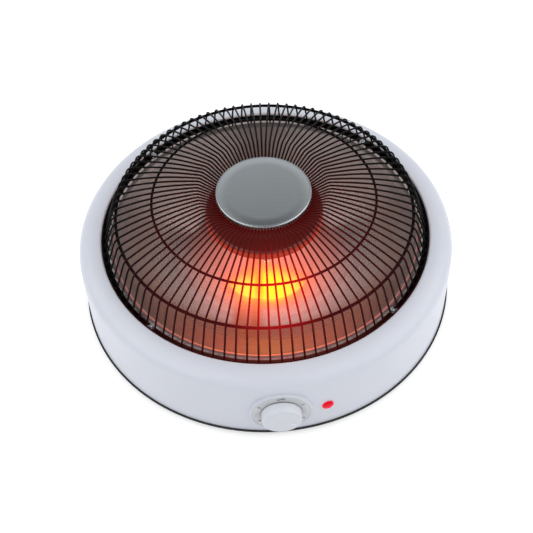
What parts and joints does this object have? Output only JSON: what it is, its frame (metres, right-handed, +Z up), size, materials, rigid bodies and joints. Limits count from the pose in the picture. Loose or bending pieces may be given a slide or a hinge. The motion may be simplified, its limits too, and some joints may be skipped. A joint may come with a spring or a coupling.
{
  "type": "electric brazier",
  "caption": "Round floor-standing electric heater: white drum, polished reflector bowl under a domed black wire guard with a steel cap, front control knob and pilot lamp.",
  "frame": {"origin": "on the floor under the centre of the drum, at the height of the feet's lower faces", "axes": "+Z up; -Y is the front, where the knob is; +X is to the right seen from the front; the cord gland faces +Y"},
  "size_m": [0.3999, 0.4194, 0.1462],
  "materials": {
    "black_enamel": "gloss stove enamel",
    "base_black": "satin black",
    "drum_white": "semi-gloss powder coat",
    "reflector_aluminium": "polished, finely spun",
    "cap_steel": "satin stainless",
    "shade_steel": "bare sheet, heat tinted",
    "element_sheath": "glowing sheath",
    "zinc_steel": "bright zinc",
    "ceramic_white": "unglazed",
    "rubber_black": "matt",
    "control_white": "moulded, fine satin",
    "lens_red": "clear red, lit",
    "plastic_black": "moulded",
    "block_ivory": "moulded",
    "brass": "plated",
    "galvanised": "plain sheet",
    "lead_red": "silicone",
    "lead_sleeve": "woven glass sleeve"
  },
  "bodies": {
    "root": {"base_plate": "base_black", "feet": "rubber_black", "base_screws": "zinc_steel", "centre_pillar": "galvanised", "pillar_screw": "zinc_steel", "heat_shield": "galvanised", "shield_washer": "zinc_steel", "drum": "drum_white", "reflector": "reflector_aluminium", "reflector_screw": "zinc_steel", "element_insulators": "ceramic_white", "heating_element": "element_sheath", "terminal_sleeves": "ceramic_white", "shade_pan": "shade_steel", "refractory_disc": "ceramic_white", "shade_spacer": "zinc_steel", "hub_bolt": "zinc_steel", "hub_nut": "zinc_steel", "hub_plate": "black_enamel", "guard_cap": "cap_steel", "guard_wires": "black_enamel", "guard_middle_ring": "black_enamel", "guard_shoulder_ring": "black_enamel", "guard_band": "black_enamel", "guard_clips": "zinc_steel", "clip_screws": "zinc_steel", "dial_plate": "control_white", "switch_screws": "zinc_steel", "rotary_switch": "plastic_black", "pilot_lens": "lens_red", "pilot_holder": "plastic_black", "cord_gland": "plastic_black", "gland_nut": "plastic_black", "terminal_block": "block_ivory", "terminal_screws": "brass", "thermal_cutout": "plastic_black", "cutout_screws": "zinc_steel", "mains_lead": "lead_red", "switch_lead": "lead_sleeve", "cutout_lead": "lead_sleeve", "return_lead": "lead_sleeve"},
    "knob": {"control_knob": "control_white", "switch_shaft": "zinc_steel"}
  },
  "joints": [
    {"name": "knob_turn", "type": "hinge", "parent": "root", "child": "knob", "pos_m": [0, -0.20969, 0.0416], "axis": [0, 1, 0], "range_deg": [-120, 180]}
  ]
}
